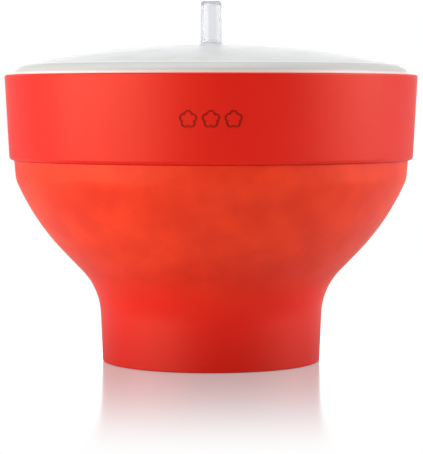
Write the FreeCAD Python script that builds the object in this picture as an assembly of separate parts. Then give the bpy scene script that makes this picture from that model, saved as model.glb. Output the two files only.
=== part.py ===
"""Collapsible popcorn maker: a soft bowl that folds flat, a loose lid and the lid's peg.

Millimetres, +Z up. The origin is the centre of the underside, and the front is towards -Y.
The bowl is one soft moulding. Its folding wall is cut into rings, because each ring travels
a different share of the fold. A round cut with a small clearance parts each ring from the next.
"""

import math
import os

import FreeCAD
import Part

# Overall sizes.
RIM_RADIUS = 100.0
HEIGHT = 139.0
BASE_RADIUS = 52.95

# Wall of the bowl, from the table up.
WALL = 2.6
FLOOR = 4.0
BASE_HEIGHT = 23.3
BASE_LEAN = math.radians(2.3)
FLARE_LENGTH = 11.8
FLARE_LEAN_SHARE = 1.512
SHOULDER_LEAN_SHARE = 0.798
SHOULDER_RADIUS = 4.0
TOP_LENGTH = 8.8
TOP_LEAN = math.radians(4.9)
BASE_EDGE = 0.8
FLOOR_CORNER = 4.0

# Folding rings: the first and last cut, as shares of the way from the base's wall to the rim.
FOLD_BANDS = 6
FIRST_CUT_SHARE = 0.085
LAST_CUT_SHARE = 0.83
BAND_CLEARANCE = 0.3

# Thick band round the rim, with a ledge inside that the lid rests on.
RIM_HEIGHT = 41.0
RIM_STEP = 2.25
RIM_LEAN = math.radians(3.1)
RIM_LOWER_EDGE = 2.0
RIM_UPPER_EDGE = 1.0
RIM_LIP = 4.0
LEDGE_DEPTH = 5.0

# Row of popped kernels in outline, sunk into the front of the rim band.
PATTERN_COUNT = 3
PATTERN_PITCH = 10.0
PATTERN_LOBES = 5
PATTERN_LOBE_RADIUS = 1.7
PATTERN_SPREAD = 2.0
PATTERN_STROKE = 0.9
PATTERN_DEPTH = 0.5

# Lid.
LID_CLEARANCE = 0.3
LID_SIDE = 3.3
LID_DOME_RISE = 11.6
LID_THICKNESS = 2.4
LID_SHOULDER = 5.0
LID_HOLE_RADIUS = 4.2

# Hollow peg that the lid is lifted by. Its stem goes through the lid and ends in a snap bead.
KNOB_TOP_RADIUS = 5.0
KNOB_FOOT_RADIUS = 5.3
KNOB_HEIGHT = 20.8
KNOB_WALL = 1.3
KNOB_CROWN = 1.8
KNOB_FLANGE_REACH = 1.1
KNOB_FLANGE_HEIGHT = 0.8
STEM_CLEARANCE = 0.1
BEAD_REACH = 0.8
BEAD_HEIGHT = 1.6

# Worked out from the sizes above.
RIM_BOTTOM = HEIGHT - RIM_HEIGHT
RIM_BOTTOM_RADIUS = RIM_RADIUS - RIM_HEIGHT * math.tan(RIM_LEAN)
WALL_TOP_RADIUS = RIM_BOTTOM_RADIUS - RIM_STEP
BASE_TOP_RADIUS = BASE_RADIUS + BASE_HEIGHT * math.tan(BASE_LEAN)
LEDGE = HEIGHT - LEDGE_DEPTH
LID_RADIUS = RIM_RADIUS - RIM_LIP - LID_CLEARANCE
LID_TOP = HEIGHT + LID_SIDE + LID_DOME_RISE
LID_DOME_RADIUS = (LID_RADIUS ** 2 + LID_DOME_RISE ** 2) / (2 * LID_DOME_RISE)
AXIS = FreeCAD.Vector(0, 0, 1)
CENTRE = FreeCAD.Vector(0, 0, 0)
REACH = 2 * RIM_RADIUS


def point(radius, height):
    return FreeCAD.Vector(radius, 0, height)


def turned(face):
    """Solid of revolution of a flat profile about the bowl's axis."""
    solid = face.revolve(CENTRE, AXIS, 360)
    return Part.Solid(solid.Shells[0]) if solid.Volume > 0 else Part.Solid(solid.Shells[0].reversed())


def polygon(corners):
    """Flat profile through (radius, height) corners."""
    points = [point(*corner) for corner in corners]
    return Part.Face(Part.makePolygon(points + points[:1]))


def rounded(solid, radius, at_radius, at_height):
    """Round the circular edges that lie at one radius and height."""
    edges = []
    for edge in solid.Edges:
        box = edge.BoundBox
        level = abs(box.ZMin - at_height) < 0.01 and abs(box.ZMax - at_height) < 0.01
        if level and abs(box.XMax - at_radius) < 0.01:
            edges.append(edge)
    return solid.makeFillet(radius, edges)


def arc_stations(start, lean_after, radius):
    """Middle and end of an arc that turns the wall's lean, from the station (r, z, lean)."""
    r, z, lean = start
    side = 1 if lean_after > lean else -1
    stations = []
    for angle in ((lean + lean_after) / 2, lean_after):
        out = side * radius * (math.cos(lean) - math.cos(angle))
        up = side * radius * (math.sin(angle) - math.sin(lean))
        stations.append((r + out, z + up, angle))
    return stations


def line_station(start, length):
    r, z, lean = start
    return r + length * math.sin(lean), z + length * math.cos(lean), lean


def wall_stations():
    """Outer surface of the wall as (radius, height, lean) at every end and middle of its stretches.

    The flare's steepest lean follows from its width and height. The radii of the two large arcs
    are the pair that joins the base's wall to the top of the wall with no kink.
    """
    mean_lean = math.atan((WALL_TOP_RADIUS - BASE_TOP_RADIUS) / (RIM_BOTTOM - BASE_HEIGHT))
    flare = FLARE_LEAN_SHARE * mean_lean
    shoulder = SHOULDER_LEAN_SHARE * mean_lean
    low = (BASE_TOP_RADIUS, BASE_HEIGHT, BASE_LEAN)
    blend = arc_stations((0, 0, shoulder), TOP_LEAN, SHOULDER_RADIUS)[1]
    straight = line_station((0, 0, flare), FLARE_LENGTH)
    top = line_station((0, 0, TOP_LEAN), TOP_LENGTH)
    width = WALL_TOP_RADIUS - low[0] - blend[0] - straight[0] - top[0]
    height = RIM_BOTTOM - low[1] - blend[1] - straight[1] - top[1]
    neck_out = math.cos(BASE_LEAN) - math.cos(flare)
    neck_up = math.sin(flare) - math.sin(BASE_LEAN)
    belly_out = math.cos(shoulder) - math.cos(flare)
    belly_up = math.sin(flare) - math.sin(shoulder)
    scale = neck_out * belly_up - belly_out * neck_up
    neck_radius = (width * belly_up - belly_out * height) / scale
    belly_radius = (neck_out * height - width * neck_up) / scale

    stations = [line_station(low, -(BASE_HEIGHT / math.cos(BASE_LEAN) + WALL)), low]
    stations += arc_stations(stations[-1], flare, neck_radius)
    stations.append(line_station(stations[-1], FLARE_LENGTH))
    stations += arc_stations(stations[-1], shoulder, belly_radius)
    stations += arc_stations(stations[-1], TOP_LEAN, SHOULDER_RADIUS)
    stations.append(line_station(stations[-1], TOP_LENGTH + WALL))
    return stations


def wall_line(inset):
    """Edges of the wall's surface, moved in by the inset, from the bottom up."""
    p = []
    for r, z, lean in wall_stations():
        p.append(point(r - inset * math.cos(lean), z + inset * math.sin(lean)))
    return [
        Part.LineSegment(p[0], p[1]).toShape(),
        Part.Arc(p[1], p[2], p[3]).toShape(),
        Part.LineSegment(p[3], p[4]).toShape(),
        Part.Arc(p[4], p[5], p[6]).toShape(),
        Part.Arc(p[6], p[7], p[8]).toShape(),
        Part.LineSegment(p[8], p[9]).toShape(),
    ]


def wall_between(inner_radius, outer_radius):
    """Ring of the bowl's wall between two upright round cuts."""
    outside = wall_line(0)
    inside = wall_line(WALL)
    lower_end = Part.makeLine(outside[0].Vertexes[0].Point, inside[0].Vertexes[0].Point)
    upper_end = Part.makeLine(outside[-1].Vertexes[-1].Point, inside[-1].Vertexes[-1].Point)
    wire = Part.Wire(Part.__sortEdges__(outside + inside + [lower_end, upper_end]))
    corners = [(inner_radius, 0), (outer_radius, 0), (outer_radius, RIM_BOTTOM), (inner_radius, RIM_BOTTOM)]
    section = Part.Face(wire).common(polygon(corners))
    return turned(section.Faces[0])


def cut_radius(index):
    """Radius of one of the round cuts, counted from the inside."""
    share = FIRST_CUT_SHARE + (LAST_CUT_SHARE - FIRST_CUT_SHARE) * index / FOLD_BANDS
    return BASE_TOP_RADIUS + share * (WALL_TOP_RADIUS - BASE_TOP_RADIUS)


def base_cup():
    """Floor and the foot's wall, up to where the wall starts to fold."""
    wall = wall_between(BASE_RADIUS / 2, cut_radius(0) - BAND_CLEARANCE / 2)
    floor_radius = BASE_RADIUS - WALL / 2
    floor = Part.makeCylinder(floor_radius, FLOOR)
    cup = wall.fuse(floor).removeSplitter()
    cup = Part.Solid(cup.Solids[0])
    inside_radius = BASE_RADIUS + FLOOR * math.tan(BASE_LEAN) - WALL / math.cos(BASE_LEAN)
    cup = rounded(cup, FLOOR_CORNER, inside_radius, FLOOR)
    return rounded(cup, BASE_EDGE, BASE_RADIUS, 0)


def fold_band(index):
    """One ring of the folding wall."""
    gap = BAND_CLEARANCE / 2
    return wall_between(cut_radius(index) + gap, cut_radius(index + 1) - gap)


def upper_wall():
    """Wall above the fold, up to the underside of the rim band."""
    return wall_between(cut_radius(FOLD_BANDS) + BAND_CLEARANCE / 2, REACH)


def kernel(x, lobe_radius, heart_radius):
    """Prism of one popped kernel that stands out towards the front: a ring of lobes round a heart."""
    middle = RIM_BOTTOM + RIM_HEIGHT / 2
    front = FreeCAD.Vector(0, -1, 0)
    heart = Part.makeCylinder(heart_radius, REACH, FreeCAD.Vector(x, 0, middle), front)
    lobes = []
    for index in range(PATTERN_LOBES):
        angle = math.pi / 2 + 2 * math.pi * index / PATTERN_LOBES
        side = x + PATTERN_SPREAD * math.cos(angle)
        height = middle + PATTERN_SPREAD * math.sin(angle)
        lobes.append(Part.makeCylinder(lobe_radius, REACH, FreeCAD.Vector(side, 0, height), front))
    return heart.multiFuse(lobes)


def kernel_pattern():
    """Prisms of the row's outlines."""
    half_stroke = PATTERN_STROKE / 2
    outlines = []
    for index in range(PATTERN_COUNT):
        x = (index - (PATTERN_COUNT - 1) / 2) * PATTERN_PITCH
        outer = kernel(x, PATTERN_LOBE_RADIUS + half_stroke, PATTERN_SPREAD)
        inner = kernel(x, PATTERN_LOBE_RADIUS - half_stroke, PATTERN_SPREAD - half_stroke)
        outlines.append(outer.cut(inner))
    return Part.makeCompound(outlines)


def rim_band():
    """Thick band that carries the lid, with the pattern sunk into its front."""
    ledge_radius = WALL_TOP_RADIUS - WALL
    lip_radius = RIM_RADIUS - RIM_LIP
    section = polygon([
        (ledge_radius, RIM_BOTTOM),
        (RIM_BOTTOM_RADIUS, RIM_BOTTOM),
        (RIM_RADIUS, HEIGHT),
        (lip_radius, HEIGHT),
        (lip_radius, LEDGE),
        (ledge_radius, LEDGE),
    ])
    band = turned(section)
    band = rounded(band, RIM_LOWER_EDGE, RIM_BOTTOM_RADIUS, RIM_BOTTOM)
    band = rounded(band, RIM_UPPER_EDGE, RIM_RADIUS, HEIGHT)
    skin = turned(polygon([
        (RIM_BOTTOM_RADIUS - PATTERN_DEPTH, RIM_BOTTOM),
        (RIM_BOTTOM_RADIUS + PATTERN_DEPTH, RIM_BOTTOM),
        (RIM_RADIUS + PATTERN_DEPTH, HEIGHT),
        (RIM_RADIUS - PATTERN_DEPTH, HEIGHT),
    ]))
    return Part.Solid(band.cut(skin.common(kernel_pattern())).Solids[0])


def dome_height(radius, thickness):
    """Height of the dome's surface, a given thickness below its outside."""
    sphere = LID_DOME_RADIUS - thickness
    return LID_TOP - LID_DOME_RADIUS + math.sqrt(sphere ** 2 - radius ** 2)


def lid_shell():
    """Shallow dome with a rounded shoulder and a skirt that stands on the rim's ledge."""
    inner = LID_RADIUS - LID_THICKNESS
    bottom = LEDGE + LID_CLEARANCE

    def dome(from_radius, to_radius, thickness):
        middle = (from_radius + to_radius) / 2
        ends = [point(r, dome_height(r, thickness)) for r in (from_radius, middle, to_radius)]
        return Part.Arc(*ends).toShape()

    outside = dome(LID_HOLE_RADIUS, LID_RADIUS, 0)
    inside = dome(LID_HOLE_RADIUS, inner, LID_THICKNESS)
    skirt = Part.makePolygon([
        outside.Vertexes[-1].Point,
        point(LID_RADIUS, bottom),
        point(inner, bottom),
        inside.Vertexes[-1].Point,
    ])
    hole = Part.makeLine(outside.Vertexes[0].Point, inside.Vertexes[0].Point)
    wire = Part.Wire(Part.__sortEdges__([outside, inside, hole] + skirt.Edges))
    lid = turned(Part.Face(wire))
    lid = rounded(lid, LID_SHOULDER, LID_RADIUS, dome_height(LID_RADIUS, 0))
    return rounded(lid, LID_SHOULDER - LID_THICKNESS, inner, dome_height(inner, LID_THICKNESS))


def lid_knob():
    """Hollow peg, closed at the top, with a flange on the lid and a snap bead under it."""
    stem = LID_HOLE_RADIUS - STEM_CLEARANCE
    bead = stem + BEAD_REACH
    flange = max(stem, KNOB_FOOT_RADIUS) + KNOB_FLANGE_REACH
    under_lid = dome_height(bead, LID_THICKNESS) - STEM_CLEARANCE
    top = LID_TOP + KNOB_HEIGHT
    flange_top = LID_TOP + KNOB_FLANGE_HEIGHT
    bore = stem - KNOB_WALL
    knob = turned(polygon([
        (0, top),
        (KNOB_TOP_RADIUS, top),
        (KNOB_FOOT_RADIUS, flange_top),
        (flange, LID_TOP),
        (stem, LID_TOP),
        (stem, under_lid),
        (bead, under_lid),
        (stem, under_lid - BEAD_HEIGHT),
        (bore, under_lid - BEAD_HEIGHT),
        (bore, LID_TOP),
        (KNOB_TOP_RADIUS - KNOB_WALL, flange_top),
        (KNOB_TOP_RADIUS - KNOB_WALL, top - KNOB_WALL),
        (0, top - KNOB_WALL),
    ]))
    return rounded(knob, KNOB_CROWN, KNOB_TOP_RADIUS, top)


def main():
    os.makedirs("parts", exist_ok=True)
    parts = {
        "base_cup": base_cup(),
        "upper_wall": upper_wall(),
        "rim_band": rim_band(),
        "lid_shell": lid_shell(),
        "lid_knob": lid_knob(),
    }
    for index in range(FOLD_BANDS):
        parts[f"fold_band_{index + 1}"] = fold_band(index)
    for name, shape in parts.items():
        shape.exportStep(f"parts/{name}.step")
        print(name, shape.isValid(), len(shape.Solids), round(shape.Volume))


main()
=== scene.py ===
# %% [markdown]
# # A popcorn maker that folds flat
#
# A red silicone bowl stands on a narrow foot. Its wall flares out to a thick rim band, and a milky
# lid with a clear peg for a knob rests inside the rim. This lesson builds the looks of the three
# real pieces round the engineer's model: the bowl, the lid and the peg.

# %% Load the fixed frame
from math import cos, pi, radians, sin, sqrt

import bmesh
import bpy
from mathutils import Matrix, Vector


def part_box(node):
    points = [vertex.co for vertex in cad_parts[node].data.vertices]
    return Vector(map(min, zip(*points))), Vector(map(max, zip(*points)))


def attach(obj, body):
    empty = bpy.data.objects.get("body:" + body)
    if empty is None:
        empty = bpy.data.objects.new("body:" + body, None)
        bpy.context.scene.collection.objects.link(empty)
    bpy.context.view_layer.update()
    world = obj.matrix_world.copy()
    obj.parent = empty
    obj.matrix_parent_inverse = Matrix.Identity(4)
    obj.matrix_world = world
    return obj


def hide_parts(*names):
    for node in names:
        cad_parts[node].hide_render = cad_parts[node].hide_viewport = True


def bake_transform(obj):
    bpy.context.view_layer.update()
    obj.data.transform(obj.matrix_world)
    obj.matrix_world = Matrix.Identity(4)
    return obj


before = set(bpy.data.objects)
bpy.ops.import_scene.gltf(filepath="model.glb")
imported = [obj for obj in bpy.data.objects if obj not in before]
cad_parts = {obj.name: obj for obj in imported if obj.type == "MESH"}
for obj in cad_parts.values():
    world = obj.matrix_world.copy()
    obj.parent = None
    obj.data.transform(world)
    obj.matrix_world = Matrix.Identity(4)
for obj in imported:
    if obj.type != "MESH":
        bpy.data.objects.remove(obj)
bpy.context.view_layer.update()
MM = 0.001
AXIS = Vector((0, 0, 1))

# %% [markdown]
# ## The camera
#
# A long lens far away keeps the round rim almost flat to the eye. The camera stands about a metre
# from the bowl, a little under the rim's height, and looks slightly down.

# %% Camera
CAMERA_DISTANCE = 1.010
CAMERA_HEIGHT = 0.1262
CAMERA_SIDE = 0.0002
CAMERA_PITCH = radians(3.464)
LENS = 164.35
SENSOR = 36
NEAREST = 0.01

camera = bpy.data.objects.new("camera", bpy.data.cameras.new("camera"))
camera.data.lens = LENS
camera.data.sensor_width = SENSOR
camera.data.clip_start = NEAREST
camera.location = (CAMERA_SIDE, -CAMERA_DISTANCE, CAMERA_HEIGHT)
camera.rotation_euler = (pi / 2 - CAMERA_PITCH, 0, 0)
bpy.context.scene.collection.objects.link(camera)
bpy.context.scene.camera = camera
bpy.context.scene.view_settings.view_transform = "Standard"

# %% [markdown]
# ## The white studio
#
# The bowl stands on a sheet of glossy white acrylic in a white room. To the eye both are pure
# white, with the bowl's reflection strongest at the foot and gone a quarter of a metre out, and a
# faint painted shadow round the foot. Plain diffuse white would turn grey wherever less light
# falls, so the floor that the camera sees shines by itself, and another, duller white is what
# lights the bowl from below.

# %% Helpers for nodes
def new_material(name):
    material = bpy.data.materials.new(name)
    material.use_nodes = True
    return material, material.node_tree.nodes, material.node_tree.links


def feed(links, value, socket):
    """Links a socket to another socket, or sets it to a plain value."""
    if isinstance(value, bpy.types.NodeSocket):
        links.new(value, socket)
    else:
        socket.default_value = value


def math_node(nodes, links, operation, first, second):
    node = nodes.new("ShaderNodeMath")
    node.operation = operation
    feed(links, first, node.inputs[0])
    feed(links, second, node.inputs[1])
    return node.outputs[0]


def map_range(nodes, links, value, low, high, first=0.0, last=1.0):
    """A smooth step from the first number to the last as the value goes from low to high."""
    step = nodes.new("ShaderNodeMapRange")
    step.interpolation_type = "SMOOTHSTEP"
    step.inputs["From Min"].default_value = low
    step.inputs["From Max"].default_value = high
    step.inputs["To Min"].default_value = first
    step.inputs["To Max"].default_value = last
    links.new(value, step.inputs["Value"])
    return step.outputs["Result"]


def mixed_shader(nodes, links, share, first, second):
    mix = nodes.new("ShaderNodeMixShader")
    links.new(share, mix.inputs["Fac"])
    links.new(first, mix.inputs[1])
    links.new(second, mix.inputs[2])
    return mix.outputs[0]


def object_place(nodes):
    """Where a point lies on the finished piece, in metres."""
    return nodes.new("ShaderNodeTexCoord").outputs["Object"]


def along(nodes, links, place, axis):
    """One of a place's three numbers, by the name of its axis."""
    split = nodes.new("ShaderNodeSeparateXYZ")
    links.new(place, split.inputs[0])
    return split.outputs[axis]


# %% From bmesh to object
def object_from(bm, name):
    mesh = bpy.data.meshes.new(name)
    bm.to_mesh(mesh)
    bm.free()
    obj = bpy.data.objects.new(name, mesh)
    bpy.context.scene.collection.objects.link(obj)
    return obj


# %% Floor
FLOOR_REACH = 6
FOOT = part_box("base_cup")[1].x
GLOSS_FROM = FOOT - 0.030
GLOSS_TO = FOOT + 0.240
GLOSS_MOST = 0.60
GLOSS_GREY = 0.78
GLOSS_ROUGHNESS = 0.16
# Near the bowl the floor's own glow is dimmed: a painted shadow.
SHADE_NEAR = 0.12
SHADE_FAR = 0.27
SHADE = 0.86
BOUNCE = 0.45
GLOW_OF_FLOOR = 0.165


def floor_to_the_eye(nodes, links):
    """A white that shines by itself, a little shaded near the bowl, with the gloss fading outwards."""
    length = nodes.new("ShaderNodeVectorMath")
    length.operation = "LENGTH"
    links.new(object_place(nodes), length.inputs[0])
    away = length.outputs["Value"]
    white = nodes.new("ShaderNodeEmission")
    shade = map_range(nodes, links, away, SHADE_NEAR, SHADE_FAR, SHADE, 1)
    links.new(shade, white.inputs["Strength"])
    gloss = nodes.new("ShaderNodeBsdfGlossy")
    gloss.inputs["Roughness"].default_value = GLOSS_ROUGHNESS
    gloss.inputs["Color"].default_value = (GLOSS_GREY, GLOSS_GREY, GLOSS_GREY, 1)
    share = map_range(nodes, links, away, GLOSS_FROM, GLOSS_TO, GLOSS_MOST, 0)
    return mixed_shader(nodes, links, share, white.outputs[0], gloss.outputs[0])


def floor_as_light(nodes, links):
    """What the bowl gets from the floor: bounced light, and a faint glow of the floor's own."""
    bounce = nodes.new("ShaderNodeBsdfDiffuse")
    bounce.inputs["Color"].default_value = (BOUNCE, BOUNCE, BOUNCE, 1)
    glow = nodes.new("ShaderNodeEmission")
    glow.inputs["Strength"].default_value = GLOW_OF_FLOOR
    both = nodes.new("ShaderNodeAddShader")
    links.new(bounce.outputs[0], both.inputs[0])
    links.new(glow.outputs[0], both.inputs[1])
    return both.outputs[0]


def white_acrylic():
    material, nodes, links = new_material("white acrylic")
    nodes.remove(nodes["Principled BSDF"])
    seen = floor_to_the_eye(nodes, links)
    light = floor_as_light(nodes, links)
    from_camera = nodes.new("ShaderNodeLightPath").outputs["Is Camera Ray"]
    surface = mixed_shader(nodes, links, from_camera, light, seen)
    links.new(surface, nodes["Material Output"].inputs["Surface"])
    return material


def studio_floor():
    bm = bmesh.new()
    bmesh.ops.create_grid(bm, x_segments=1, y_segments=1, size=FLOOR_REACH)
    floor = object_from(bm, "floor")
    floor.data.materials.append(white_acrylic())
    return floor


floor = studio_floor()
print("the foot is", round(FOOT / MM, 2), "mm in radius on the floor")

# %% [markdown]
# ## The room and its lamps
#
# A lamp alone would leave the bowl black between its highlights, so the whole room gives light. It
# is bright behind and above the bowl and dark on the camera's side, so the red keeps its depth
# between the soft boxes at its sides. A brighter spot straight behind the bowl shows only as a
# reflection, along the outline. Seen through clear plastic the room is a little less than white,
# or the clear peg would vanish against it. The soft boxes show only as light and as reflections.
# Three more panels are mirrored by the floor alone, which would turn grey from the sides and from
# behind without them.

# %% Room
ROOM_DARK_TO = -0.7
ROOM_BRIGHT_FROM = 0.3
ROOM_FRONT = 0.0
ROOM_BACK = 0.7
GLOW = 1.8
GLOW_INSIDE = cos(radians(10))
GLOW_OUTSIDE = cos(radians(22))
SEEN_THROUGH = 0.92


def studio_room():
    world = bpy.data.worlds.new("white room")
    world.use_nodes = True
    bpy.context.scene.world = world
    nodes, links = world.node_tree.nodes, world.node_tree.links
    direction = nodes.new("ShaderNodeTexCoord").outputs["Generated"]
    back = along(nodes, links, direction, "Y")
    wall = map_range(nodes, links, back, ROOM_DARK_TO, ROOM_BRIGHT_FROM, ROOM_FRONT, ROOM_BACK)
    spot = map_range(nodes, links, back, GLOW_OUTSIDE, GLOW_INSIDE, 0, GLOW)
    path = nodes.new("ShaderNodeLightPath")
    through = path.outputs["Is Transmission Ray"]
    mirrored = math_node(nodes, links, "SUBTRACT", path.outputs["Is Glossy Ray"], through)
    mirrored = math_node(nodes, links, "MAXIMUM", mirrored, 0.0)
    glow = math_node(nodes, links, "MULTIPLY", spot, mirrored)
    light = math_node(nodes, links, "ADD", wall, glow)
    seen = math_node(nodes, links, "MAXIMUM", light, path.outputs["Is Camera Ray"])
    behind_clear = math_node(nodes, links, "MULTIPLY", through, SEEN_THROUGH)
    seen = math_node(nodes, links, "MAXIMUM", seen, behind_clear)
    links.new(seen, nodes["Background"].inputs["Strength"])
    nodes["Background"].inputs["Color"].default_value = (1, 1, 1, 1)


studio_room()

# %% Soft boxes
AIM = Vector((0, 0, 0.08))


def soft_box(name, azimuth, elevation, distance, width, height, power):
    """A rectangular lamp that aims at the bowl. Azimuth 0 is the camera's side, and left is negative."""
    lamp = bpy.data.lights.new(name, "AREA")
    lamp.shape = "RECTANGLE"
    lamp.size = width
    lamp.size_y = height
    lamp.energy = power
    box = bpy.data.objects.new(name, lamp)
    a, e = radians(azimuth), radians(elevation)
    box.location = AIM + distance * Vector((sin(a) * cos(e), -cos(a) * cos(e), sin(e)))
    box.rotation_euler = (AIM - box.location).to_track_quat("-Z", "Y").to_euler()
    box.visible_camera = False
    box.visible_transmission = False
    bpy.context.scene.collection.objects.link(box)
    return box


soft_box("left box", azimuth=-58, elevation=10, distance=1.6, width=1.85, height=0.5, power=26)
soft_box("right box", azimuth=82, elevation=20, distance=1.6, width=1.4, height=1.2, power=21)
soft_box("top box", azimuth=-90, elevation=80, distance=1.5, width=1.2, height=1.2, power=7.5)

# %% Panels that only the floor mirrors
PANEL_AWAY = 3.0
PANEL_WIDTH = 6.0
PANEL_HEIGHT = 4.0
PANEL_WHITE = 1.25
PANEL_POWER = PANEL_WHITE * pi * PANEL_WIDTH * PANEL_HEIGHT

only_floor = bpy.data.collections.new("only floor")
only_floor.objects.link(floor)


def floor_panel(name, azimuth):
    panel = soft_box(name, azimuth, 0, PANEL_AWAY, PANEL_WIDTH, PANEL_HEIGHT, PANEL_POWER)
    panel.visible_diffuse = False
    panel.light_linking.receiver_collection = only_floor


floor_panel("front panel", 0)
floor_panel("left panel", -90)
floor_panel("right panel", 90)
print("lamps:", len(bpy.data.lights))

# %% [markdown]
# ## The bowl's wall
#
# The real bowl is one silicone moulding, and its wall rolls over when the bowl is pushed flat. A
# closed skin would pinch where it rolls, because its inside and outside would move apart. So the
# wall is made as one sheet, its outer face, and a live Solidify gives it the wall's thickness in
# every pose. The sheet's half section is walked like a pen on paper: straight stretches and arcs
# that each start where the last one ended, with the pen's lean from upright kept between them.

# %% Sizes of the bowl, in millimetres
RIM_RADIUS = 100.0
HEIGHT = 139.0
BASE_RADIUS = 52.95
BASE_EDGE = 0.8
WALL = 2.6
BASE_HEIGHT = 23.3
BASE_LEAN = radians(2.3)
NECK_RADIUS = 32.44
FLARE_LEAN = radians(44.06)
FLARE_LENGTH = 11.8
BELLY_RADIUS = 116.3
SHOULDER_LEAN = radians(24.11)
SHOULDER_RADIUS = 14.0
TOP_LEAN = radians(4.9)
RIM_BOTTOM = 98.0
RIM_STEP = 2.25
HIDDEN_STRIP = 0.2
ARC_STEP = radians(3)
LEAST_ARC_STEPS = 2


# %% Walk along the wall
def straight(walk, length, steps=1):
    r, z, lean = walk[-1]
    for step in range(1, steps + 1):
        share = length * step / steps
        walk.append((r + share * sin(lean), z + share * cos(lean), lean))


def arc(walk, lean_after, radius):
    """Turns the pen to a new lean round a circle, in steps of a few degrees."""
    r, z, lean = walk[-1]
    side = 1 if lean_after > lean else -1
    steps = max(LEAST_ARC_STEPS, round(abs(lean_after - lean) / ARC_STEP))
    for step in range(1, steps + 1):
        angle = lean + (lean_after - lean) * step / steps
        out = side * radius * (cos(lean) - cos(angle))
        up = side * radius * (sin(angle) - sin(lean))
        walk.append((r + out, z + up, angle))


def wall_walk():
    """From the middle of the underside, round the foot and up to the rim: (r, z, lean)."""
    walk = [(0, 0, pi / 2)]
    straight(walk, BASE_RADIUS - BASE_EDGE, steps=6)
    arc(walk, BASE_LEAN, BASE_EDGE)
    straight(walk, BASE_HEIGHT / cos(BASE_LEAN) - BASE_EDGE, steps=6)
    arc(walk, FLARE_LEAN, NECK_RADIUS)
    straight(walk, FLARE_LENGTH, steps=4)
    arc(walk, SHOULDER_LEAN, BELLY_RADIUS)
    arc(walk, TOP_LEAN, SHOULDER_RADIUS)
    straight(walk, (RIM_BOTTOM - HIDDEN_STRIP - walk[-1][1]) / cos(TOP_LEAN), steps=3)
    straight(walk, HIDDEN_STRIP / cos(TOP_LEAN))
    return walk


WALL_TOP_RADIUS = wall_walk()[-1][0]
print("wall's top radius:", round(WALL_TOP_RADIUS, 2))

# %% Turn an outline about the bowl's axis
TURN_STEPS = 192
SHARP = radians(38)
SAME_POINT = 1e-6
SLIVER = 1e-7


def turned(points, name, closed=True, steps=TURN_STEPS):
    """Spins a half section (r, z) about the axis, and keeps its crisp corners crisp."""
    bm = bmesh.new()
    verts = [bm.verts.new((r * MM, 0, z * MM)) for r, z in points]
    edges = [bm.edges.new(pair) for pair in zip(verts, verts[1:])]
    if closed:
        edges.append(bm.edges.new((verts[-1], verts[0])))
    bmesh.ops.spin(bm, geom=verts + edges, axis=AXIS, angle=2 * pi, steps=steps, use_merge=True)
    bmesh.ops.remove_doubles(bm, verts=bm.verts, dist=SAME_POINT)
    bmesh.ops.dissolve_degenerate(bm, edges=bm.edges, dist=SLIVER)
    bmesh.ops.recalc_face_normals(bm, faces=bm.faces)
    for face in bm.faces:
        face.smooth = True
    for edge in bm.edges:
        edge.smooth = edge.calc_face_angle(0) < SHARP
    return object_from(bm, name)


def even_shading(obj):
    """Lets the large faces set the shading where they meet narrow rounded edges."""
    weighted = obj.modifiers.new("even shading", "WEIGHTED_NORMAL")
    weighted.keep_sharp = True


# %% Make the wall
def bowl_wall():
    """The sheet, with its moulded place remembered, and with its first face, the underside, facing down."""
    wall = turned([(r, z) for r, z, lean in wall_walk()], "bowl_wall", closed=False)
    if wall.data.polygons[0].normal.z > 0:
        wall.data.flip_normals()
    place = wall.data.attributes.new("moulded place", "FLOAT_VECTOR", "POINT")
    for vertex in wall.data.vertices:
        place.data[vertex.index].vector = vertex.co
    thickness = wall.modifiers.new("wall thickness", "SOLIDIFY")
    thickness.thickness = WALL * MM
    thickness.offset = -1
    thickness.use_even_offset = True
    even_shading(wall)
    return wall


wall = bowl_wall()
print("wall:", len(wall.data.polygons), "faces")

# %% [markdown]
# ## The rim
#
# The rim is a thick square band with a softened lower edge, and its inside has a ledge that the
# lid stands on. It could be a cylinder with bevelled edges, but the ledge would then be cut into it
# afterwards. A spun half section gives the band, the lip and the ledge at once. It is a list of
# corners, each with the radius that rounds it.

# %% Sizes of the rim, in millimetres
RIM_LOWER_EDGE = 2.0
RIM_UPPER_EDGE = 1.0
RIM_LIP = 4.0
LEDGE_DEPTH = 5.0
SMALL_EDGE = 0.5
CORNER_STEPS = 5
LEDGE = HEIGHT - LEDGE_DEPTH
RIM_BOTTOM_RADIUS = WALL_TOP_RADIUS + RIM_STEP
RIM_SLANT = Vector((RIM_RADIUS, HEIGHT)) - Vector((RIM_BOTTOM_RADIUS, RIM_BOTTOM))
RIM_LEAN = RIM_SLANT.angle(Vector((0, 1)))
print("the rim leans out", round(RIM_LEAN / radians(1), 2), "degrees")


# %% Round the corners of an outline
def rounded(corners, steps=CORNER_STEPS):
    """Points (r, z) of a closed outline from corners (r, z, radius), with the round ones as arcs."""
    points = []
    for index, (r, z, radius) in enumerate(corners):
        here = Vector((r, z))
        if not radius:
            points.append(here)
            continue
        before = (Vector(corners[index - 1][:2]) - here).normalized()
        after = (Vector(corners[(index + 1) % len(corners)][:2]) - here).normalized()
        half = before.angle(after) / 2
        middle = here + (before + after).normalized() * radius / sin(half)
        start = here + before * radius * cos(half) / sin(half) - middle
        end = here + after * radius * cos(half) / sin(half) - middle
        sweep = start.angle_signed(end)
        for step in range(steps + 1):
            angle = -sweep * step / steps
            points.append(middle + Vector((start.x * cos(angle) - start.y * sin(angle),
                                           start.x * sin(angle) + start.y * cos(angle))))
    return points


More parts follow.
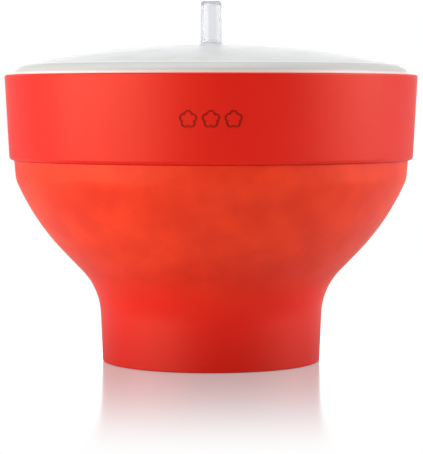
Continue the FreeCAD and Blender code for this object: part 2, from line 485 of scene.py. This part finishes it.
def rim_band():
    ledge_radius = WALL_TOP_RADIUS - WALL / cos(TOP_LEAN)
    return turned(rounded([
        (ledge_radius, RIM_BOTTOM, 0),
        (RIM_BOTTOM_RADIUS, RIM_BOTTOM, RIM_LOWER_EDGE),
        (RIM_RADIUS, HEIGHT, RIM_UPPER_EDGE),
        (RIM_RADIUS - RIM_LIP, HEIGHT, SMALL_EDGE),
        (RIM_RADIUS - RIM_LIP, LEDGE, 0),
        (ledge_radius, LEDGE, SMALL_EDGE),
    ]), "bowl_rim")


rim = rim_band()
print("rim:", len(rim.data.polygons), "faces")

# %% [markdown]
# ## The sign on the rim
#
# Three popped kernels are sunk into the front of the rim as thin grooves. A bump in the material
# would be quicker, but the exported mesh would lose it, so the grooves are cut. A kernel's outline
# is five round lobes, so one formula in polar form gives it: the far side of the nearest lobe. Two
# such outlines make a flat ring, the ring is extruded to a cutter, and a Boolean sinks it.

# %% Sizes of the sign, in millimetres
KERNELS = 3
KERNEL_PITCH = 10.0
LOBES = 5
LOBE_RADIUS = 1.7
LOBE_SPREAD = 2.0
GROOVE = 0.9
GROOVE_DEPTH = 0.5
CUTTER_REACH = 5.0
SIGN_HEIGHT = (RIM_BOTTOM + HEIGHT) / 2
OUTLINE_STEPS = 70
GROOVE_MATERIAL = 1


# %% One kernel
def kernel_loop(bm, lobe_radius):
    """A closed loop round a popped kernel, flat in XZ about the origin, with a lobe pointing up."""
    verts = []
    for step in range(OUTLINE_STEPS):
        angle = 2 * pi * step / OUTLINE_STEPS
        off = (angle + pi / LOBES) % (2 * pi / LOBES) - pi / LOBES
        reach = LOBE_SPREAD * cos(off) + sqrt(lobe_radius ** 2 - (LOBE_SPREAD * sin(off)) ** 2)
        verts.append(bm.verts.new((reach * sin(angle) * MM, 0, reach * cos(angle) * MM)))
    return [bm.edges.new(pair) for pair in zip(verts, verts[1:] + verts[:1])]


def kernel_cutter():
    """A ring of groove, that stands out towards the front from the origin."""
    bm = bmesh.new()
    loops = kernel_loop(bm, LOBE_RADIUS + GROOVE / 2) + kernel_loop(bm, LOBE_RADIUS - GROOVE / 2)
    faces = bmesh.ops.bridge_loops(bm, edges=loops)["faces"]
    solid = bmesh.ops.extrude_face_region(bm, geom=faces)["geom"]
    far_side = [part for part in solid if isinstance(part, bmesh.types.BMVert)]
    bmesh.ops.translate(bm, verts=far_side, vec=(0, -CUTTER_REACH * MM, 0))
    bmesh.ops.recalc_face_normals(bm, faces=bm.faces)
    return bm


# %% A row of kernels round the rim
def sign_cutter():
    radius = (RIM_RADIUS + RIM_BOTTOM_RADIUS) / 2
    lean = Matrix.Rotation(RIM_LEAN, 4, "X")
    place = Matrix.Translation((0, (GROOVE_DEPTH - radius) * MM, SIGN_HEIGHT * MM))
    cutter = bmesh.new()
    for index in range(KERNELS):
        bm = kernel_cutter()
        turn = Matrix.Rotation(KERNEL_PITCH / radius * (index - (KERNELS - 1) / 2), 4, "Z")
        bmesh.ops.transform(bm, matrix=turn @ place @ lean, verts=bm.verts)
        kernel = bpy.data.meshes.new("kernel")
        bm.to_mesh(kernel)
        bm.free()
        cutter.from_mesh(kernel)
        bpy.data.meshes.remove(kernel)
    for face in cutter.faces:
        face.material_index = GROOVE_MATERIAL
    return object_from(cutter, "sign cutter")


# %% [markdown]
# ## Red silicone
#
# Silicone has a satin skin: a broad soft highlight with a little of the red in it, and light that
# soaks in before it comes out. The thick rim and the foot are a deep red, and the foot is darker
# still with painted shade from the flaring wall above it. The wall between them is thin, so light
# from inside warms it towards orange, in soft clouds where the popcorn touches it.
# A painted picture could show them, but noise needs none and fits every pose: it is read from the
# place where the silicone was moulded, so the clouds stay on the wall as it folds.

# %% Silicone's colours
# The foot's red is darker than the rim's: deep silicone, and painted shade under the flaring wall.
SHADED_FOOT_RED = (0.585, 0.0040, 0.0016, 1)
DEEP_RED = (0.76, 0.0075, 0.0030, 1)
WARM_RED = (0.90, 0.0450, 0.0100, 1)
DUSK_RED = (0.78, 0.0290, 0.0065, 1)
# The grooves' darker red is painted shade, the shade that falls into the sunk sign.
GROOVE_SHADE_RED = (0.46, 0.0060, 0.0030, 1)
WALL_ROUGHNESS = 0.45
RIM_ROUGHNESS = 0.42
SATIN = {
    "IOR": 1.45,
    "Specular IOR Level": 0.8,
    "Specular Tint": (1, 0.42, 0.27, 1),
    "Subsurface Weight": 0.12,
    "Subsurface Radius": (1, 0.12, 0.06),
    "Subsurface Scale": 0.002,
}
GRAIN = 0.0006
GRAIN_DEPTH = 0.00002

# A colour mix keeps its factor and its two colours in these sockets, and its result in this one.
MIX_INPUTS = (0, 6, 7)
MIX_RESULT = 2


# %% Helpers for surfaces
def principled(nodes, settings):
    """The sockets of the surface shader, with the named ones set."""
    sockets = nodes["Principled BSDF"].inputs
    for name, value in settings.items():
        sockets[name].default_value = value
    return sockets


def noise(nodes, links, place, size, detail=2):
    texture = nodes.new("ShaderNodeTexNoise")
    texture.inputs["Scale"].default_value = 1 / size
    texture.inputs["Detail"].default_value = detail
    links.new(place, texture.inputs["Vector"])
    return texture.outputs["Fac"]


def mixed(nodes, links, share, first, second):
    mix = nodes.new("ShaderNodeMix")
    mix.data_type = "RGBA"
    for index, value in zip(MIX_INPUTS, (share, first, second)):
        feed(links, value, mix.inputs[index])
    return mix.outputs[MIX_RESULT]


def fine_skin(nodes, links, place):
    """A moulded skin's faint grain."""
    bump = nodes.new("ShaderNodeBump")
    bump.inputs["Distance"].default_value = GRAIN_DEPTH
    links.new(noise(nodes, links, place, GRAIN), bump.inputs["Height"])
    links.new(bump.outputs["Normal"], nodes["Principled BSDF"].inputs["Normal"])


# %% Silicone on the wall
FOOT_TO = 0.040
THIN_FROM = 0.022
THIN_TO = 0.060
CLOUD_SIZE = 0.017
CLOUD_DETAIL = 4
CLOUD_FROM = 0.30
CLOUD_TO = 0.72


def wall_silicone():
    material, nodes, links = new_material("wall silicone")
    shader = principled(nodes, SATIN | {"Roughness": WALL_ROUGHNESS})
    moulded = nodes.new("ShaderNodeAttribute")
    moulded.attribute_name = "moulded place"
    place = moulded.outputs["Vector"]
    height = along(nodes, links, place, "Z")
    thin = map_range(nodes, links, height, THIN_FROM, THIN_TO)
    cloud = noise(nodes, links, place, CLOUD_SIZE, CLOUD_DETAIL)
    clouds = map_range(nodes, links, cloud, CLOUD_FROM, CLOUD_TO)
    cloudy = mixed(nodes, links, clouds, DUSK_RED, WARM_RED)
    # Darker towards the floor: the foot's deep red with painted shade under the flare.
    above_foot = map_range(nodes, links, height, 0, FOOT_TO)
    plain = mixed(nodes, links, above_foot, SHADED_FOOT_RED, DEEP_RED)
    links.new(mixed(nodes, links, thin, plain, cloudy), shader["Base Color"])
    fine_skin(nodes, links, place)
    return material


wall.data.materials.append(wall_silicone())


# %% Silicone on the rim
RIM_DARKEST = 0.93
RIM_CLOUD_SIZE = 0.03


def rim_silicone(name, red):
    material, nodes, links = new_material(name)
    shader = principled(nodes, SATIN | {"Roughness": RIM_ROUGHNESS})
    place = object_place(nodes)
    darker = [channel * RIM_DARKEST for channel in red[:3]] + [1]
    colour = mixed(nodes, links, noise(nodes, links, place, RIM_CLOUD_SIZE), darker, red)
    links.new(colour, shader["Base Color"])
    fine_skin(nodes, links, place)
    return material


rim.data.materials.append(rim_silicone("rim silicone", DEEP_RED))
# The grooves get a darker red: painted shade in the recess.
rim.data.materials.append(rim_silicone("groove shade silicone", GROOVE_SHADE_RED))


# %% Sink the sign
def sink(obj, cutter):
    """Cuts the cutter out of the object and applies the even shading with it."""
    before = len(obj.data.polygons)
    cut = obj.modifiers.new("sign", "BOOLEAN")
    cut.object = cutter
    cut.solver = "EXACT"
    cut.operation = "DIFFERENCE"
    even_shading(obj)
    depsgraph = bpy.context.evaluated_depsgraph_get()
    mesh = bpy.data.meshes.new_from_object(obj.evaluated_get(depsgraph))
    obj.modifiers.clear()
    obj.data = mesh
    bpy.data.objects.remove(cutter)
    print("faces before and after the cut:", before, len(mesh.polygons))


cutter = sign_cutter()
for material in rim.data.materials:
    cutter.data.materials.append(material)
sink(rim, cutter)

# %% Hand the bowl to the frame
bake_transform(wall)
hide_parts("base_cup", "upper_wall", *[f"fold_band_{index}" for index in range(1, 7)])
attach(rim, "rim")
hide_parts("rim_band")

# %% [markdown]
# ## The lid
#
# The lid is a shallow dome with a fine ridge round its edge, a rounded shoulder and a skirt that
# stands on the rim's ledge. It is a moulding of even thickness, open below. A disc pulled up in the
# middle would bulge unevenly, but a spun section keeps the dome true, and the ridge is only two
# more corners of it.

# %% Sizes of the lid, in millimetres
LID_CLEARANCE = 0.3
LID_THICKNESS = 2.4
LID_SIDE = 3.3
LID_DOME_RISE = 11.6
LID_HOLE_RADIUS = 4.2
LID_RADIUS = RIM_RADIUS - RIM_LIP - LID_CLEARANCE
LID_TOP = HEIGHT + LID_SIDE + LID_DOME_RISE
LID_DOME_RADIUS = (LID_RADIUS ** 2 + LID_DOME_RISE ** 2) / (2 * LID_DOME_RISE)
RIDGE_INSET = 7.2
RIDGE_WIDTH = 1.2
RIDGE_FLAT_SHARE = 0.6
RIDGE_HEIGHT = 0.3
RIDGE_ROUND = 0.3
SHOULDER_HEIGHT = 142.0
SHOULDER_ROUND = 5.5
DOME_STEPS = 24


# %% Make the lid
def dome_height(radius, thickness=0.0):
    sphere = LID_DOME_RADIUS - thickness
    return LID_TOP - LID_DOME_RADIUS + sqrt(sphere ** 2 - radius ** 2)


def dome(start, end, thickness=0.0):
    """Corners along the dome from one radius to another."""
    spread = [start + (end - start) * step / DOME_STEPS for step in range(DOME_STEPS + 1)]
    return [(r, dome_height(r, thickness), 0) for r in spread]


def lid_shell():
    inner = LID_RADIUS - LID_THICKNESS
    bottom = LEDGE + LID_CLEARANCE
    ridge = LID_RADIUS - RIDGE_INSET
    ridge_top = dome_height(ridge) + RIDGE_HEIGHT
    corners = dome(LID_HOLE_RADIUS, ridge - RIDGE_WIDTH)
    corners += [
        (ridge - RIDGE_WIDTH * RIDGE_FLAT_SHARE, ridge_top, RIDGE_ROUND),
        (ridge, ridge_top, RIDGE_ROUND),
        (LID_RADIUS, SHOULDER_HEIGHT, SHOULDER_ROUND),
        (LID_RADIUS, bottom, SMALL_EDGE),
        (inner, bottom, SMALL_EDGE),
        (inner, SHOULDER_HEIGHT - LID_THICKNESS, SHOULDER_ROUND - LID_THICKNESS),
    ]
    corners += dome(ridge - RIDGE_WIDTH, LID_HOLE_RADIUS, LID_THICKNESS)
    lid = turned(rounded(corners), "lid")
    even_shading(lid)
    return lid


lid = lid_shell()
print("lid:", len(lid.data.polygons), "faces")

# %% [markdown]
# ## Milky plastic
#
# The lid looks like natural polypropylene: milky, with a soft shine, and it lets some light
# through. Frosted glass would show too much of the bowl, so a white with only a little transmission
# and a rough shine is used. Thin edges catch more light, so the ridge and the line above the rim
# get a painted highlight, a whiter colour, and the side gets painted shade, a greyer colour. Height
# on the lid tells these apart.

# %% Milky plastic
MILK = (0.78, 0.79, 0.80, 1)
MILK_SHADE = (0.69, 0.70, 0.69, 1)
# The lid's side is painted greyer: painted shade.
SIDE_SHADE_MILK = (0.68, 0.68, 0.65, 1)
# The ridge is painted whiter: a painted highlight where the thin edge catches light.
RIDGE_HIGHLIGHT_MILK = (0.97, 0.97, 0.95, 1)
# The line just above the rim is painted whiter: a painted highlight.
LIP_HIGHLIGHT_MILK = (0.95, 0.93, 0.86, 1)
MILKY = {
    "Roughness": 0.36,
    "Transmission Weight": 0.2,
    "IOR": 1.49,
    "Subsurface Weight": 0.2,
    "Subsurface Radius": (1, 1, 1),
    "Subsurface Scale": 0.004,
}
MILK_CLOUD_SIZE = 0.014
MILK_CLOUD_FROM = 0.40
MILK_CLOUD_TO = 0.75
LIP_MILK_TO = HEIGHT * MM + 0.0007
SIDE_MILK_FROM = HEIGHT * MM + 0.0016
RIDGE_FADE = 0.0003
RIDGE_END_FADE = 0.0001


def milky_plastic():
    material, nodes, links = new_material("milky plastic")
    shader = principled(nodes, MILKY)
    place = object_place(nodes)
    cloud = noise(nodes, links, place, MILK_CLOUD_SIZE)
    clouds = map_range(nodes, links, cloud, MILK_CLOUD_FROM, MILK_CLOUD_TO)
    top = mixed(nodes, links, clouds, MILK, MILK_SHADE)
    height = along(nodes, links, place, "Z")
    ridge = dome_height(LID_RADIUS - RIDGE_INSET) * MM
    ridge_top = ridge + RIDGE_HEIGHT * MM
    # A painted highlight on the line above the rim, then painted shade on the side above it.
    above_lip = map_range(nodes, links, height, LIP_MILK_TO, SIDE_MILK_FROM)
    side = mixed(nodes, links, above_lip, LIP_HIGHLIGHT_MILK, SIDE_SHADE_MILK)
    # A painted highlight on the ridge.
    on_ridge = map_range(nodes, links, height, ridge - RIDGE_FADE, ridge)
    edge = mixed(nodes, links, on_ridge, side, RIDGE_HIGHLIGHT_MILK)
    past_ridge = map_range(nodes, links, height, ridge_top, ridge_top + RIDGE_END_FADE)
    links.new(mixed(nodes, links, past_ridge, edge, top), shader["Base Color"])
    fine_skin(nodes, links, place)
    return material


lid.data.materials.append(milky_plastic())
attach(lid, "lid")
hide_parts("lid_shell")

# %% [markdown]
# ## The clear peg
#
# The knob is a hollow peg of clear plastic, closed at the top, that snaps into the lid's hole with
# a bead under the lid and a low flange on it. A solid pin would be simpler, but it would act as one
# lens. With the hollow, each wall bends the light by itself, which draws the dark and bright upright
# lines that say clear plastic.

# %% Sizes of the peg, in millimetres
KNOB_TOP_RADIUS = 5.0
KNOB_FOOT_RADIUS = 5.3
KNOB_HEIGHT = 20.8
KNOB_WALL = 1.3
KNOB_CROWN = 1.1
KNOB_FOOT_ROUND = 0.3
KNOB_FLANGE_REACH = 1.1
KNOB_FLANGE_HEIGHT = 0.8
KNOB_FLANGE_SIDE = 0.25
KNOB_FLANGE_ROUND = 0.2
HOLLOW_ROUND = 0.8
STEM_CLEARANCE = 0.1
BEAD_REACH = 0.8
BEAD_HEIGHT = 1.6
BEAD_ROUND = 0.3
PEG_STEPS = 96


# %% Make the peg
def lid_peg():
    """Down the outside from the crown to the bead, and back up the bore to the hollow's end."""
    stem = LID_HOLE_RADIUS - STEM_CLEARANCE
    bead = stem + BEAD_REACH
    flange = KNOB_FOOT_RADIUS + KNOB_FLANGE_REACH
    under_lid = dome_height(bead, LID_THICKNESS) - STEM_CLEARANCE
    bead_bottom = under_lid - BEAD_HEIGHT
    top = LID_TOP + KNOB_HEIGHT
    flange_top = LID_TOP + KNOB_FLANGE_HEIGHT
    bore = stem - KNOB_WALL
    hollow = KNOB_TOP_RADIUS - KNOB_WALL
    hollow_top = top - KNOB_WALL
    points = rounded([
        (0, top, 0),
        (KNOB_TOP_RADIUS, top, KNOB_CROWN),
        (KNOB_FOOT_RADIUS, flange_top, KNOB_FOOT_ROUND),
        (flange, LID_TOP + KNOB_FLANGE_SIDE, KNOB_FLANGE_ROUND),
        (flange, LID_TOP, 0),
        (stem, LID_TOP, 0),
        (stem, under_lid, 0),
        (bead, under_lid, BEAD_ROUND),
        (stem, bead_bottom, 0),
        (bore, bead_bottom, 0),
        (bore, LID_TOP, 0),
        (hollow, flange_top, 0),
        (hollow, hollow_top, HOLLOW_ROUND),
        (0, hollow_top, 0),
    ])
    peg = turned(points, "lid_peg", closed=False, steps=PEG_STEPS)
    even_shading(peg)
    return peg


peg = lid_peg()
print("peg:", len(peg.data.polygons), "faces")

# %% Clear plastic
CLEAR = {
    "Base Color": (0.93, 0.94, 0.96, 1),
    "IOR": 1.49,
    "Specular IOR Level": 0.2,
    "Specular Tint": (0.45, 0.45, 0.47, 1),
}
FOOT_CLEAR = 0.35
STEM_CLEAR = 0.94
MILKY_TO = LID_TOP * MM - 0.001
CLEAR_FROM = LID_TOP * MM + 0.003
CAST_SIZE = 0.004
CAST_FROM = 0.3
CAST_TO = 0.7
SMOOTHEST = 0.06
ROUGHEST = 0.10


def clear_plastic():
    """Milky at the foot, where the lid lies under it, clear above, and never quite even."""
    material, nodes, links = new_material("clear plastic")
    shader = principled(nodes, CLEAR)
    place = object_place(nodes)
    height = along(nodes, links, place, "Z")
    clear = map_range(nodes, links, height, MILKY_TO, CLEAR_FROM, FOOT_CLEAR, STEM_CLEAR)
    links.new(clear, shader["Transmission Weight"])
    cast = noise(nodes, links, place, CAST_SIZE)
    roughness = map_range(nodes, links, cast, CAST_FROM, CAST_TO, SMOOTHEST, ROUGHEST)
    links.new(roughness, shader["Roughness"])
    return material


peg.data.materials.append(clear_plastic())
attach(peg, "lid")
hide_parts("lid_knob")
